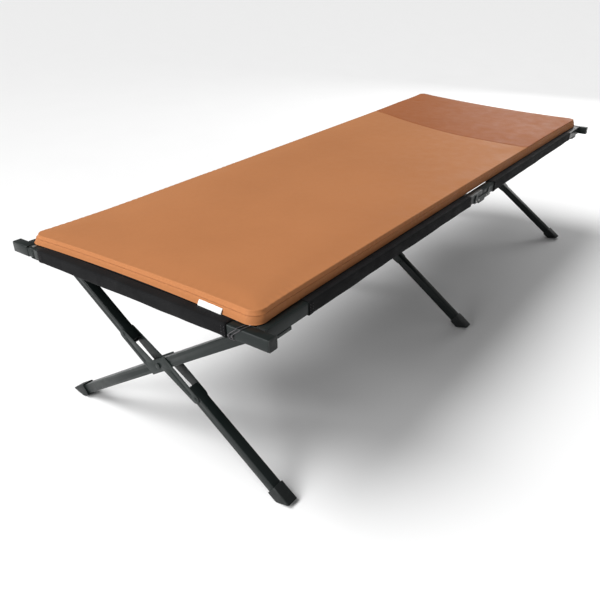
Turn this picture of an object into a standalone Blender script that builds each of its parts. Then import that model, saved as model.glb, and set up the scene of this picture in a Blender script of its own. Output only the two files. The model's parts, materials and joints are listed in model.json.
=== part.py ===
"""Folding camp cot: steel rails on three crossed leg pairs, pull-off end bars, fabric deck and a pad.

Metres, +Z up. The origin is on the floor, under the middle of the cot. +X runs from the foot end to
the head end, +Y to the left rail. The right half of the frame carries the straight legs, the left
half carries the offset legs, and the two halves scissor about one axis along X.
"""

import math

import bmesh
import bpy
import numpy as np
from mathutils import Matrix, Vector

# Overall sizes
LENGTH = 2.16  # over the two end bars
WIDTH = 0.84  # length of an end bar
BED_HEIGHT = 0.495  # top of the rails and of the end bars

# Clearances
GAP = 0.0004  # between pieces that touch
RUN = 0.0006  # between pieces that move on each other
PAST = 0.01  # how far a cutter runs past the faces that it cuts

# Rails and end bars
RAIL_WIDTH = 0.025
RAIL_HEIGHT = 0.028
RAIL_INSET = 0.030  # from the end of an end bar to the rail's outer face
BAR_DEPTH = 0.025
TUBE_WALL = 0.0015
CORNER = 0.0025  # outer corner radius of the tubes
HALF_GAP = 0.001  # between the two halves of a rail

# Legs
STATION_INSET = 0.084  # from the outer face of an end bar to the middle of the nearest leg pair
LEG_DEPTH = 0.027  # along the cot
STRAIGHT_HEIGHT = 0.028  # section height of the straight leg
OFFSET_HEIGHT = 0.0255  # section height of the offset leg's tubes
FOOT_REACH = 0.367  # from the middle to where a leg's centre line is FOOT_LIFT high
FOOT_LIFT = 0.012
HEAD_INSET = 0.0275  # from the middle of a rail to where a leg's centre line is HEAD_DROP under the bed
HEAD_DROP = 0.035
TRIM = 0.03  # extra length of a leg tube, trimmed off under its bracket
PLATE_OVERLAP = 0.030  # how far an offset leg tube runs past its rivet, between the plates

# Crossing plates
RIVET_OUT = 0.1195  # rivet from the pivot, across the cot
RIVET_UP = 0.050  # and upwards
PLATE = 0.0018
ARM_HALF = 0.0127  # half the width of a plate's arm
ARM_ROOT = 0.012  # how much wider the arm is where it meets the hub
HUB_MARGIN = 0.003  # hub over the straight leg's section
GROOVE_LENGTH = 0.070  # groove pressed along each arm
GROOVE_RADIUS = 0.0035
GROOVE_DEPTH = 0.0008
GROOVE_FROM_RIVET = 0.018
RIVET_RADIUS = 0.0028
HEAD_RADIUS = 0.0048
HEAD_HEIGHT = 0.0014
PIVOT_RADIUS = 0.004
PIVOT_HEAD = 0.0075
PIVOT_HEAD_HEIGHT = 0.0022
PIVOT_NUT_HEIGHT = 0.0035

# Leg-top brackets
BRACKET_HALF = 0.0225  # half its length along the rail
BRACKET_WALL = 0.0022
BRACKET_LIP = 0.0075  # how far its outer lip hangs below the rail
BRACKET_REACH = 0.072  # from the rail's outer face inwards
CHEEK_HALF = 0.0125  # rounding of a cheek about its rivet
CHEEK_INNER = 0.012  # height of a cheek at its inner end
BRACKET_RIVET_BACK = 0.018  # from the leg's head point down the leg to its rivet

# Feet
BOOT_WALL = 0.003
BOOT_OVERLAP = 0.026  # from the foot point up the leg
BOOT_FLOOR = 0.005
BOOT_ROUND = 0.002
BOOT_SPARE = 0.1  # extra length of the block that a boot is cut from
SOLE_WIDTH = 0.009  # flat strip that stands on the floor
SOLE_RISE = math.radians(14)

# Rail hinges
HINGE_LENGTH = 0.120
HINGE_WALL = 0.002
HINGE_LIP = 0.012
HINGE_EAR = 0.0084
HINGE_RIVET_INSET = 0.012

# Rail plugs
PLUG_FLANGE = 0.003
PLUG_DEPTH = 0.030
PEG_SIDE = 0.014
PEG_LENGTH = 0.016

# End bar caps
CAP_FLANGE = 0.0025
CAP_DEPTH = 0.018

# Pivot arm at one end of each end bar
ARM_PIN_INSET = 0.076  # from the end of the bar to the arm's pin
EAR = 0.002
EAR_RADIUS = 0.0123
ARM_SHOULDER = 0.0150
ARM_PIN = 0.003
PIN_HEAD = 0.0058
PIN_HEAD_HEIGHT = 0.0008
PIN_TAIL = 0.003  # pin showing below its nut
WASHER_RADIUS = 0.0075
WASHER = 0.001
NUT_RADIUS = 0.0065
NUT_HEIGHT = 0.005
EAR_ROOT = 0.010  # how far ears and tongue run into what carries them
EAR_CLEAR = 0.002  # from an ear's rounding to the tube's end

# Fabric
SLEEVE = 0.0014
SLEEVE_END = 0.165  # rail left bare at each end
SLEEVE_MIDDLE = 0.090  # rail left bare each side of the middle
BAR_SLEEVE_INSET = 0.108  # from the end of an end bar to its sleeve
DECK = 0.0022
DECK_MARGIN = 0.004  # from the deck panel to the end bars

# Pad
PAD_OVERHANG = 0.004  # how far the pad stops short of the end bars' outer faces
PAD_SIDE_INSET = 0.035  # from the end of an end bar to the pad's side
PAD_THICKNESS = 0.045
PAD_ROUND = 0.013
PAD_CORNER = 0.050

# Tie loop of the pad, round the foot end bar
LOOP_CORD = 0.001  # its radius
LOOP_INSET = 0.077  # from the right end of the end bar
LOOP_SLANT = 0.35

RAIL_Y = WIDTH / 2 - RAIL_INSET - RAIL_WIDTH / 2
RAIL_BOTTOM = BED_HEIGHT - RAIL_HEIGHT
RAIL_Z = BED_HEIGHT - RAIL_HEIGHT / 2
BAR_X = LENGTH / 2 - BAR_DEPTH / 2
HEAD_Z = BED_HEIGHT - HEAD_DROP
HEAD_REACH = RAIL_Y - HEAD_INSET
LEG_SLOPE = math.atan2(HEAD_Z - FOOT_LIFT, FOOT_REACH + HEAD_REACH)
PIVOT_Z = FOOT_LIFT + FOOT_REACH * math.tan(LEG_SLOPE)
STATIONS = {"foot": -1, "middle": 0, "head": 1}


def station_x(place):
    return place * (LENGTH / 2 - STATION_INSET)


# Materials


def material(name, colour, roughness, metallic=0.0):
    made = bpy.data.materials.new(name)
    made.use_nodes = True
    shader = made.node_tree.nodes["Principled BSDF"]
    shader.inputs["Base Color"].default_value = (*colour, 1)
    shader.inputs["Roughness"].default_value = roughness
    shader.inputs["Metallic"].default_value = metallic
    made.diffuse_color = (*colour, 1)
    return made


# Solids


def from_bmesh(name, bm):
    bmesh.ops.recalc_face_normals(bm, faces=bm.faces)
    mesh = bpy.data.meshes.new(name)
    bm.to_mesh(mesh)
    bm.free()
    made = bpy.data.objects.new(name, mesh)
    bpy.context.scene.collection.objects.link(made)
    return made


def prism(outline, low, high, axes="YZX"):
    """The closed outline, in the first two axes, swept along the third from low to high."""
    order = ["XYZ".index(letter) for letter in axes]
    bm = bmesh.new()
    rings = []
    for level in (low, high):
        ring = []
        for first, second in outline:
            point = [0.0, 0.0, 0.0]
            point[order[0]] = first
            point[order[1]] = second
            point[order[2]] = level
            ring.append(bm.verts.new(point))
        rings.append(ring)
    bm.faces.new(rings[0])
    bm.faces.new(reversed(rings[1]))
    count = len(outline)
    for i in range(count):
        j = (i + 1) % count
        bm.faces.new((rings[0][i], rings[0][j], rings[1][j], rings[1][i]))
    return from_bmesh("solid", bm)


def box(low, high):
    outline = [(low[0], low[1]), (high[0], low[1]), (high[0], high[1]), (low[0], high[1])]
    return prism(outline, low[2], high[2], "XYZ")


def arc(centre, radius, start, end, steps):
    angles = np.linspace(start, end, steps + 1)
    return [(centre[0] + radius * math.cos(a), centre[1] + radius * math.sin(a)) for a in angles]


def rounded(half_a, half_b, radius, steps=2):
    """Outline of a rectangle with round corners, about the origin."""
    points = []
    for k, (a, b) in enumerate(((1, 1), (-1, 1), (-1, -1), (1, -1))):
        centre = (a * (half_a - radius), b * (half_b - radius))
        points += arc(centre, radius, k * math.pi / 2, (k + 1) * math.pi / 2, steps)
    return points


def rod(centre, radius, low, high, axis="X", sides=20):
    """A cylinder along an axis, centred on the two other coordinates in cyclic order."""
    axes = {"X": "YZX", "Y": "ZXY", "Z": "XYZ"}[axis]
    outline = arc(centre, radius, 0, 2 * math.pi * (1 - 1 / sides), sides - 1)
    return prism(outline, low, high, axes)


def turned(piece, matrix):
    piece.data.transform(matrix)
    return piece


def combined(base, others, operation):
    """base after exact Booleans with the others, which are removed."""
    for other in others:
        modifier = base.modifiers.new("Boolean", "BOOLEAN")
        modifier.operation = operation
        modifier.solver = "EXACT"
        modifier.object = other
        bpy.context.view_layer.update()
        graph = bpy.context.evaluated_depsgraph_get()
        mesh = bpy.data.meshes.new_from_object(base.evaluated_get(graph))
        base.modifiers.clear()
        base.data = mesh
        bpy.data.objects.remove(other)
    return base


def cut(base, *others):
    return combined(base, others, "DIFFERENCE")


def joined(base, *others):
    return combined(base, others, "UNION")


def finished(piece, name, finish, pivot=None, smooth_angle=35):
    """Names the piece, gives it its material and puts its origin on its joint's axis."""
    if pivot is not None:
        piece.data.transform(Matrix.Translation(-Vector(pivot)))
        piece.location = pivot
    piece.name = name
    piece.data.name = name
    piece.data.materials.clear()
    piece.data.materials.append(finish)
    piece.data.shade_smooth()
    piece.data.set_sharp_from_angle(angle=math.radians(smooth_angle))
    return piece


def section_frame(x, start, end):
    """Matrix from a section (X across, Y along its height, Z along the leg) to the cot."""
    along = Vector((0, end[0] - start[0], end[1] - start[1])).normalized()
    across = Vector((1, 0, 0))
    up = along.cross(across)
    turn = Matrix((across, up, along)).transposed().to_4x4()
    return Matrix.Translation(Vector((x, start[0], start[1]))) @ turn


def bar_solid(width, height, radius, length, frame, start=0.0, steps=2):
    piece = prism(rounded(width / 2, height / 2, radius, steps), start, length, "XYZ")
    return turned(piece, frame)


def hollow(width, height, length, frame, start=0.0):
    """A rectangular tube, open at both ends."""
    outer = bar_solid(width, height, CORNER, length, frame, start)
    inner_radius = CORNER - TUBE_WALL
    inner = bar_solid(
        width - 2 * TUBE_WALL, height - 2 * TUBE_WALL, inner_radius, length + PAST, frame, start - PAST, 1
    )
    return cut(outer, inner)


def tube_filler(width, length, frame):
    """A solid that fills the inside of a rail-height tube."""
    inside = 2 * (TUBE_WALL + GAP)
    return bar_solid(width - inside, RAIL_HEIGHT - inside, CORNER - TUBE_WALL, length, frame)


# Rails and end bars


def rail_frame(side, start):
    """Section frame for a rail of the given side, starting at x = start and running along +X."""
    turn = Matrix(((0, 0, 1), (1, 0, 0), (0, 1, 0))).to_4x4()
    return Matrix.Translation((start, side * RAIL_Y, RAIL_Z)) @ turn


def rail_end():
    """Distance from the middle to the end of a rail tube."""
    return LENGTH / 2 - BAR_DEPTH - GAP - PLUG_FLANGE - GAP


def rail_half(side, end):
    span = (HALF_GAP / 2, rail_end())
    low, high = sorted((end * span[0], end * span[1]))
    tube = hollow(RAIL_WIDTH, RAIL_HEIGHT, high - low, rail_frame(side, low))
    hole_x = end * hinge_rivet()
    y = side * RAIL_Y
    hole = rod((RAIL_Z, hole_x), RIVET_RADIUS + GAP, y - RAIL_WIDTH, y + RAIL_WIDTH, axis="Y")
    return cut(tube, hole)


def rail_plug(side, end):
    """Fills the end of a rail. On the right rail its peg carries the end bar."""
    inner = rail_end()
    flange = (inner + GAP, inner + GAP + PLUG_FLANGE)
    y = side * RAIL_Y
    low, high = sorted((end * flange[0], end * flange[1]))
    frame = rail_frame(side, low)
    piece = bar_solid(RAIL_WIDTH, RAIL_HEIGHT, CORNER, high - low, frame)
    low, high = sorted((end * (inner - PLUG_DEPTH), end * (flange[0] + PLUG_FLANGE / 2)))
    piece = joined(piece, tube_filler(RAIL_WIDTH, high - low, rail_frame(side, low)))
    if side < 0:
        low, high = sorted((end * flange[0], end * (flange[1] + PEG_LENGTH)))
        half = PEG_SIDE / 2
        peg = box((low, y - half, RAIL_Z - half), (high, y + half, RAIL_Z + half))
        piece = joined(piece, peg)
    return piece


def hinge_rivet():
    return HINGE_LENGTH / 2 - HINGE_RIVET_INSET


def rail_hinge(side):
    """A channel that straddles the joint from below, riveted to both halves of the rail."""
    y = side * RAIL_Y
    outer = RAIL_WIDTH / 2 + GAP + HINGE_WALL
    inner = RAIL_WIDTH / 2 + GAP
    half = HINGE_LENGTH / 2
    floor = RAIL_BOTTOM - GAP
    piece = box((-half, y - outer, floor - HINGE_WALL), (half, y + outer, floor + HINGE_LIP))
    channel = box((-half - PAST, y - inner, floor), (half + PAST, y + inner, floor + HINGE_LIP + PAST))
    piece = cut(piece, channel)
    ends = []
    for end in (-1, 1):
        centre = (RAIL_Z, end * hinge_rivet())
        ends.append(rod(centre, HINGE_EAR, y - outer, y - inner, axis="Y"))
        ends.append(rod(centre, HINGE_EAR, y + inner, y + outer, axis="Y"))
        reach = outer - HINGE_WALL / 2
        ends.append(rod(centre, RIVET_RADIUS, y - reach, y + reach, axis="Y"))
    return joined(piece, *ends)


def bar_frame(end, start):
    """Section frame for an end bar, starting at y = start and running along +Y."""
    turn = Matrix(((1, 0, 0), (0, 0, 1), (0, -1, 0))).to_4x4()
    return Matrix.Translation((end * BAR_X, start, RAIL_Z)) @ turn


def end_bar(end):
    """The bar's tube, with two ears that hold the pivot arm at the end that carries it."""
    x = end * BAR_X
    arm_side = -end
    pin_y = arm_side * (WIDTH / 2 - ARM_PIN_INSET)
    tube_stop = pin_y - arm_side * (EAR_RADIUS + EAR_CLEAR)
    cap_stop = -arm_side * (WIDTH / 2 - CAP_FLANGE - GAP)
    low, high = sorted((tube_stop, cap_stop))
    tube = hollow(BAR_DEPTH, RAIL_HEIGHT, high - low, bar_frame(end, low))
    ears = []
    root = tube_stop - arm_side * EAR_ROOT
    for top in (BED_HEIGHT, RAIL_BOTTOM + EAR):
        outline = ear_outline(x, root, pin_y, arm_side, EAR_RADIUS)
        ears.append(prism(outline, top - EAR, top, "XYZ"))
    tube = joined(tube, *ears)
    hole = rod((x, pin_y), ARM_PIN + RUN, RAIL_BOTTOM - PAST, BED_HEIGHT + PAST, axis="Z")
    return cut(tube, hole, peg_socket(end, end, 0.0))


def ear_outline(x, root, pin_y, side, radius):
    """A tab from root to the pin, rounded about the pin; as wide as its rounding."""
    if side > 0:
        return [(x + radius, root)] + arc((x, pin_y), radius, 0, math.pi, 10) + [(x - radius, root)]
    return [(x - radius, root)] + arc((x, pin_y), radius, math.pi, 2 * math.pi, 10) + [(x + radius, root)]


def peg_socket(end, side, relief):
    """Cutter for the hole that a rail's peg enters, widened by relief towards the middle."""
    half = PEG_SIDE / 2 + RUN
    inner_face = LENGTH / 2 - BAR_DEPTH
    low, high = sorted((end * (inner_face - PAST / 2), end * (inner_face + PEG_LENGTH + 2 * RUN)))
    near, far = sorted((side * (RAIL_Y + half), side * (RAIL_Y - half - relief)))
    return box((low, near, RAIL_Z - half), (high, far, RAIL_Z + half))


def end_cap(end):
    """Plug in the plain end of an end bar."""
    low, high = sorted((end * WIDTH / 2, end * (WIDTH / 2 - CAP_FLANGE)))
    flange = bar_solid(BAR_DEPTH, RAIL_HEIGHT, CORNER, high - low, bar_frame(end, low))
    low, high = sorted((end * (WIDTH / 2 - CAP_DEPTH), end * (WIDTH / 2 - CAP_FLANGE / 2)))
    body = tube_filler(BAR_DEPTH, high - low, bar_frame(end, low))
    return joined(flange, body)


def pivot_arm(end):
    """The last stretch of an end bar: it swings outwards on its pin to let the rail in."""
    x = end * BAR_X
    side = -end
    pin_y = side * (WIDTH / 2 - ARM_PIN_INSET)
    low, high = sorted((pin_y + side * ARM_SHOULDER, side * WIDTH / 2))
    block = bar_solid(BAR_DEPTH, RAIL_HEIGHT, CORNER, high - low, bar_frame(end, low))
    root = pin_y + side * (ARM_SHOULDER + EAR_ROOT)
    outline = ear_outline(x, root, pin_y, -side, EAR_RADIUS - RUN)
    tongue = prism(outline, RAIL_BOTTOM + EAR + RUN, BED_HEIGHT - EAR - RUN, "XYZ")
    hole = rod((x, pin_y), ARM_PIN + RUN, RAIL_BOTTOM - PAST, BED_HEIGHT + PAST, axis="Z")
    swing = RAIL_Y - (WIDTH / 2 - ARM_PIN_INSET) - PEG_SIDE / 2
    relief = swing - math.sqrt(max(swing**2 - PEG_LENGTH**2, 0)) if swing > PEG_LENGTH else swing / 2
    return cut(joined(block, tongue), hole, peg_socket(end, side, relief + RUN))


def arm_pin(end):
    """The pin of a pivot arm: flat head on top, nut and washer below the bar."""
    x = end * BAR_X
    pin_y = -end * (WIDTH / 2 - ARM_PIN_INSET)
    top = BED_HEIGHT + GAP
    bottom = RAIL_BOTTOM - GAP
    centre = (x, pin_y)
    shank = rod(centre, ARM_PIN, bottom - NUT_HEIGHT - PIN_TAIL, top + PIN_HEAD_HEIGHT / 2, axis="Z")
    head = rod(centre, PIN_HEAD, top, top + PIN_HEAD_HEIGHT, axis="Z")
    washer = rod(centre, WASHER_RADIUS, bottom - WASHER, bottom, axis="Z")
    nut = rod(centre, NUT_RADIUS, bottom - NUT_HEIGHT, bottom - WASHER / 2, axis="Z", sides=6)
    return joined(shank, head, washer, nut)


# Legs


def offset_points(half):
    """Start and end of one offset leg tube's centre line; half is 1 for the upper, -1 for the lower."""
    start = (half * RIVET_OUT, PIVOT_Z + half * RIVET_UP)
    end = (HEAD_REACH, HEAD_Z) if half > 0 else (-FOOT_REACH, FOOT_LIFT)
    return start, end


def rivet_axis(half):
    return (half * RIVET_OUT, PIVOT_Z + half * RIVET_UP)


def straight_leg(x):
    start = (FOOT_REACH, FOOT_LIFT)
    end = (-HEAD_REACH, HEAD_Z)
    frame = section_frame(x, start, end)
    length = math.dist(start, end)
    stop = boot_tube_end(start, end, STRAIGHT_HEIGHT)
    tube = hollow(LEG_DEPTH, STRAIGHT_HEIGHT, length + TRIM, frame, stop)
    pivot = rod((0, PIVOT_Z), PIVOT_RADIUS + RUN, x - LEG_DEPTH, x + LEG_DEPTH)
    rivet = rod(bracket_rivet(-1), RIVET_RADIUS + GAP, x - LEG_DEPTH, x + LEG_DEPTH)
    return cut(tube, trim_top(x), pivot, rivet)


def bracket_top(x):
    """Top of the leg bracket at x: under the rail, or under the rail's hinge where it crosses one."""
    under_hinge = abs(x) < HINGE_LENGTH / 2 + BRACKET_HALF
    return RAIL_BOTTOM - GAP - (HINGE_WALL + GAP if under_hinge else 0)


def trim_top(x):
    """Everything above the underside of the web of the leg bracket at x."""
    z = bracket_top(x) - BRACKET_WALL - GAP
    return box((-LENGTH, -WIDTH, z), (LENGTH, WIDTH, BED_HEIGHT + HEAD_REACH))


def boot_tube_end(foot, head, height):
    """How far from the foot point the tube stops, so that the boot keeps its floor under it."""
    slope = math.atan2(head[1] - foot[1], abs(head[0] - foot[0]))
    lift = BOOT_FLOOR + height / 2 * math.cos(slope)
    return (lift - foot[1]) / math.sin(slope)


def offset_leg(x, half):
    start, end = offset_points(half)
    frame = section_frame(x, start, end)
    length = math.dist(start, end)
    if half > 0:
        tube = hollow(LEG_DEPTH, OFFSET_HEIGHT, length + TRIM, frame, -PLATE_OVERLAP)
        rivet = rod(bracket_rivet(1), RIVET_RADIUS + GAP, x - LEG_DEPTH, x + LEG_DEPTH)
        tube = cut(tube, trim_top(x), rivet)
    else:
        stop = length - boot_tube_end(end, start, OFFSET_HEIGHT)
        tube = hollow(LEG_DEPTH, OFFSET_HEIGHT, stop, frame, -PLATE_OVERLAP)
    return cut(tube, rod(rivet_axis(half), RIVET_RADIUS + GAP, x - LEG_DEPTH, x + LEG_DEPTH))


def arm_direction():
    start, end = offset_points(1)
    return Vector((end[0] - start[0], end[1] - start[1])).normalized()


def plate_outline():
    """Z-shaped: two arms along the offset leg's tubes and a hub along the straight leg."""
    along = arm_direction()
    normal = Vector((-along.y, along.x))
    rivet = Vector((RIVET_OUT, RIVET_UP))
    offset = rivet.dot(normal)
    reach = rivet.dot(along)
    up = Vector((math.sin(LEG_SLOPE), math.cos(LEG_SLOPE)))
    hub = STRAIGHT_HEIGHT / 2 + HUB_MARGIN

    def on_hub(level, t):
        """The point at height t across the arm where the hub's edge at that level crosses it."""
        s = (level - t * up.dot(normal)) / up.dot(along)
        return s, t

    tip = arc((reach, offset), ARM_HALF, -math.pi / 2, math.pi / 2, 8)
    half = [on_hub(-hub, offset - ARM_HALF)] + tip + [on_hub(hub, offset + ARM_HALF + ARM_ROOT)]
    points = half + [(-s, -t) for s, t in half]
    return [(along * s + normal * t) + Vector((0, PIVOT_Z)) for s, t in points]


def groove_outline(half):
    """A long groove along the middle of one arm of a crossing plate."""
    along = arm_direction()
    normal = Vector((-along.y, along.x))
    rivet = Vector((RIVET_OUT, RIVET_UP))
    reach = rivet.dot(along) - GROOVE_FROM_RIVET
    offset = rivet.dot(normal)
    ends = arc((reach, offset), GROOVE_RADIUS, -math.pi / 2, math.pi / 2, 6)
    ends += arc((reach - GROOVE_LENGTH, offset), GROOVE_RADIUS, math.pi / 2, 3 * math.pi / 2, 6)
    return [(along * (half * s) + normal * (half * t)) + Vector((0, PIVOT_Z)) for s, t in ends]


def plate_faces(x, place):
    """x of the inner and outer face of a crossing plate; place is -1 or 1 along the cot."""
    inner = x + place * (LEG_DEPTH / 2 + GAP)
    return inner, inner + place * PLATE


def crossing_plate(x, place):
    """One of the two plates that carry the offset leg round the straight leg."""
    inner, outer = plate_faces(x, place)
    piece = prism(plate_outline(), *sorted((inner, outer)))
    for half in (-1, 1):
        low, high = sorted((outer - place * GROOVE_DEPTH, outer + place * PAST))
        piece = cut(piece, prism(groove_outline(half), low, high))
    if place > 0:
        holes = [rod(rivet_axis(half), RIVET_RADIUS + GAP, x, x + LEG_DEPTH) for half in (-1, 1)]
        piece = cut(piece, *holes)
    else:
        far = plate_faces(x, 1)[1] + GAP
        for half in (-1, 1):
            axis = rivet_axis(half)
            shank = rod(axis, RIVET_RADIUS, inner - PLATE / 2, far + HEAD_HEIGHT / 2)
            near_head = rod(axis, HEAD_RADIUS, outer - HEAD_HEIGHT, outer + PLATE / 2)
            far_head = rod(axis, HEAD_RADIUS, far, far + HEAD_HEIGHT)
            piece = joined(piece, shank, near_head, far_head)
    return cut(piece, rod((0, PIVOT_Z), PIVOT_RADIUS + RUN, x - LEG_DEPTH, x + LEG_DEPTH))


def pivot_bolt(x):
    """Joins the two crossing plates through the straight leg."""
    near = plate_faces(x, -1)[1] - GAP
    far = plate_faces(x, 1)[1] + GAP
    axis = (0, PIVOT_Z)
    shank = rod(axis, PIVOT_RADIUS, near - PIVOT_HEAD_HEIGHT / 2, far + PIVOT_NUT_HEIGHT + RUN)
    head = rod(axis, PIVOT_HEAD, near - PIVOT_HEAD_HEIGHT, near)
    nut = rod(axis, PIVOT_HEAD - RUN, far, far + PIVOT_NUT_HEIGHT, sides=6)
    return joined(shank, head, nut)


def bracket_rivet(side):
    """Where the rivet goes through a leg's top; side is the rail's."""
    slope = LEG_SLOPE if side < 0 else math.atan2(arm_direction().y, arm_direction().x)
    back = BRACKET_RIVET_BACK
    return (side * (HEAD_REACH - back * math.cos(slope)), HEAD_Z - back * math.sin(slope))


def leg_bracket(x, side):
    """A saddle under the rail with two cheeks that hold the top of a leg."""
    outer = side * (RAIL_Y + RAIL_WIDTH / 2)
    inner = outer - side * BRACKET_REACH
    top = bracket_top(x)
    low, high = sorted((outer, inner))
    piece = box((x - BRACKET_HALF, low, top - BRACKET_WALL), (x + BRACKET_HALF, high, top))
    low, high = sorted((outer, outer - side * BRACKET_WALL))
    lip = box((x - BRACKET_HALF, low, top - BRACKET_LIP), (x + BRACKET_HALF, high, top))
    parts = [lip]
    rivet = bracket_rivet(side)
    low_edge = arc(rivet, CHEEK_HALF, -math.pi * 5 / 6, -math.pi / 6, 4)
    cheek = [(outer, top), (inner, top), (inner, top - CHEEK_INNER)]
    cheek += low_edge if side > 0 else reversed(low_edge)
    cheek.append((outer, top - BRACKET_LIP))
    for place in (-1, 1):
        inside = x + place * (LEG_DEPTH / 2 + GAP)
        parts.append(prism(cheek, *sorted((inside, inside + place * BRACKET_WALL))))
        outside = inside + place * BRACKET_WALL
        root = outside - place * BRACKET_WALL / 2
        parts.append(rod(rivet, HEAD_RADIUS, *sorted((root, outside + place * HEAD_HEIGHT))))
    reach = LEG_DEPTH / 2 + GAP + BRACKET_WALL / 2
    parts.append(rod(rivet, RIVET_RADIUS, x - reach, x + reach))
    return joined(piece, *parts)


def boot(x, foot, head, height):
    """Plastic foot round the end of a leg, with a flat strip to stand on."""
    side = math.copysign(1, foot[0])
    frame = section_frame(x, head, foot)
    length = math.dist(head, foot)
    outer_height = height + 2 * (BOOT_WALL + GAP)
    outer_depth = LEG_DEPTH + 2 * (BOOT_WALL + GAP)
    start = length - BOOT_OVERLAP
    piece = bar_solid(outer_depth, outer_height, BOOT_ROUND, length + BOOT_SPARE, frame, start, 1)
    slope = math.atan2(head[1] - foot[1], abs(head[0] - foot[0]))
    stop = length - boot_tube_end(foot, head, height) + GAP
    space = (LEG_DEPTH + 2 * GAP, height + 2 * GAP)
    pocket = bar_solid(*space, BOOT_ROUND / 2, stop, frame, start - PAST, 1)
    heel = abs(foot[0]) - (outer_height / 2 / math.cos(slope) - foot[1]) / math.tan(slope)
    edge = heel + SOLE_WIDTH
    near = heel - BOOT_SPARE
    far = edge + BOOT_SPARE
    rise = BOOT_SPARE * math.tan(SOLE_RISE)
    ground = [(near, 0), (edge, 0), (far, rise), (far, -BOOT_SPARE), (near, -BOOT_SPARE)]
    below = prism([(side * y, z) for y, z in ground], x - outer_depth, x + outer_depth)
    return cut(piece, pocket, below)


# Fabric and pad


def ring_sleeve(width, height, length, frame):
    """A fabric tube round a rail or an end bar."""
    outside = (width + 2 * (GAP + SLEEVE), height + 2 * (GAP + SLEEVE))
    outer = bar_solid(*outside, CORNER + SLEEVE, length, frame)
    inner = bar_solid(width + 2 * GAP, height + 2 * GAP, CORNER, length + PAST, frame, -PAST)
    return cut(outer, inner)


def rail_sleeve(side, end):
    low, high = sorted((end * SLEEVE_MIDDLE, end * (LENGTH / 2 - SLEEVE_END)))
    return ring_sleeve(RAIL_WIDTH, RAIL_HEIGHT, high - low, rail_frame(side, low))


def bar_sleeve(end):
    half = WIDTH / 2 - BAR_SLEEVE_INSET
    return ring_sleeve(BAR_DEPTH, RAIL_HEIGHT, 2 * half, bar_frame(end, -half))


def deck_top():
    return BED_HEIGHT + GAP + SLEEVE


def deck_panel():
    half_x = LENGTH / 2 - BAR_DEPTH - GAP - SLEEVE - DECK_MARGIN
    half_y = RAIL_Y - RAIL_WIDTH / 2 - GAP - SLEEVE - GAP
    return box((-half_x, -half_y, deck_top() - DECK), (half_x, half_y, deck_top()))


def pad():
    half_x = LENGTH / 2 - PAD_OVERHANG
    half_y = WIDTH / 2 - PAD_SIDE_INSET
    low = max(deck_top(), BED_HEIGHT + RUN + 2 * LOOP_CORD) + GAP
    bm = bmesh.new()
    outline = rounded(half_x, half_y, PAD_CORNER, 5)
    bottom = [bm.verts.new((px, py, low)) for px, py in outline]
    face = bm.faces.new(bottom)
    made = bmesh.ops.extrude_face_region(bm, geom=[face])
    moved = [v for v in made["geom"] if isinstance(v, bmesh.types.BMVert)]
    bmesh.ops.translate(bm, verts=moved, vec=(0, 0, PAD_THICKNESS))
    bmesh.ops.recalc_face_normals(bm, faces=bm.faces)
    rims = [e for e in bm.edges if abs(e.verts[0].co.z - e.verts[1].co.z) < 1e-6]
    bmesh.ops.bevel(bm, geom=rims, offset=PAD_ROUND, segments=3, profile=0.5, affect="EDGES")
    return from_bmesh("solid", bm)


def tie_loop():
    """Elastic loop of the pad, round the foot end bar."""
    x = -BAR_X
    half_x = BAR_DEPTH / 2 + LOOP_CORD + RUN
    half_z = RAIL_HEIGHT / 2 + LOOP_CORD + RUN
    path = rounded(half_x, half_z, CORNER + LOOP_CORD, 3)
    curve = bpy.data.curves.new("solid", "CURVE")
    curve.dimensions = "3D"
    curve.bevel_depth = LOOP_CORD
    curve.bevel_resolution = 2
    spline = curve.splines.new("POLY")
    spline.points.add(len(path) - 1)
    for point, (a, b) in zip(spline.points, path):
        point.co = (x + a, LOOP_INSET - WIDTH / 2 + LOOP_SLANT * a, RAIL_Z + b, 1)
    spline.use_cyclic_u = True
    drawn = bpy.data.objects.new("solid", curve)
    bpy.context.scene.collection.objects.link(drawn)
    bpy.context.view_layer.update()
    graph = bpy.context.evaluated_depsgraph_get()
    mesh = bpy.data.meshes.new_from_object(drawn.evaluated_get(graph))
    bpy.data.objects.remove(drawn)
    made = bpy.data.objects.new("solid", mesh)
    bpy.context.scene.collection.objects.link(made)
    return made


# Assembly


def clear_scene():
    for old in list(bpy.data.objects):
        bpy.data.objects.remove(old, do_unlink=True)


def group(name, location):
    empty = bpy.data.objects.new(name, None)
    empty.empty_display_size = 0.05
    empty.location = location
    bpy.context.scene.collection.objects.link(empty)
    return empty


def carry(parent, pieces):
    """Parents the pieces to an empty on the joint's axis without moving them."""
    bpy.context.view_layer.update()
    for piece in pieces:
        piece.parent = parent
        piece.matrix_parent_inverse = parent.matrix_world.inverted()


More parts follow.
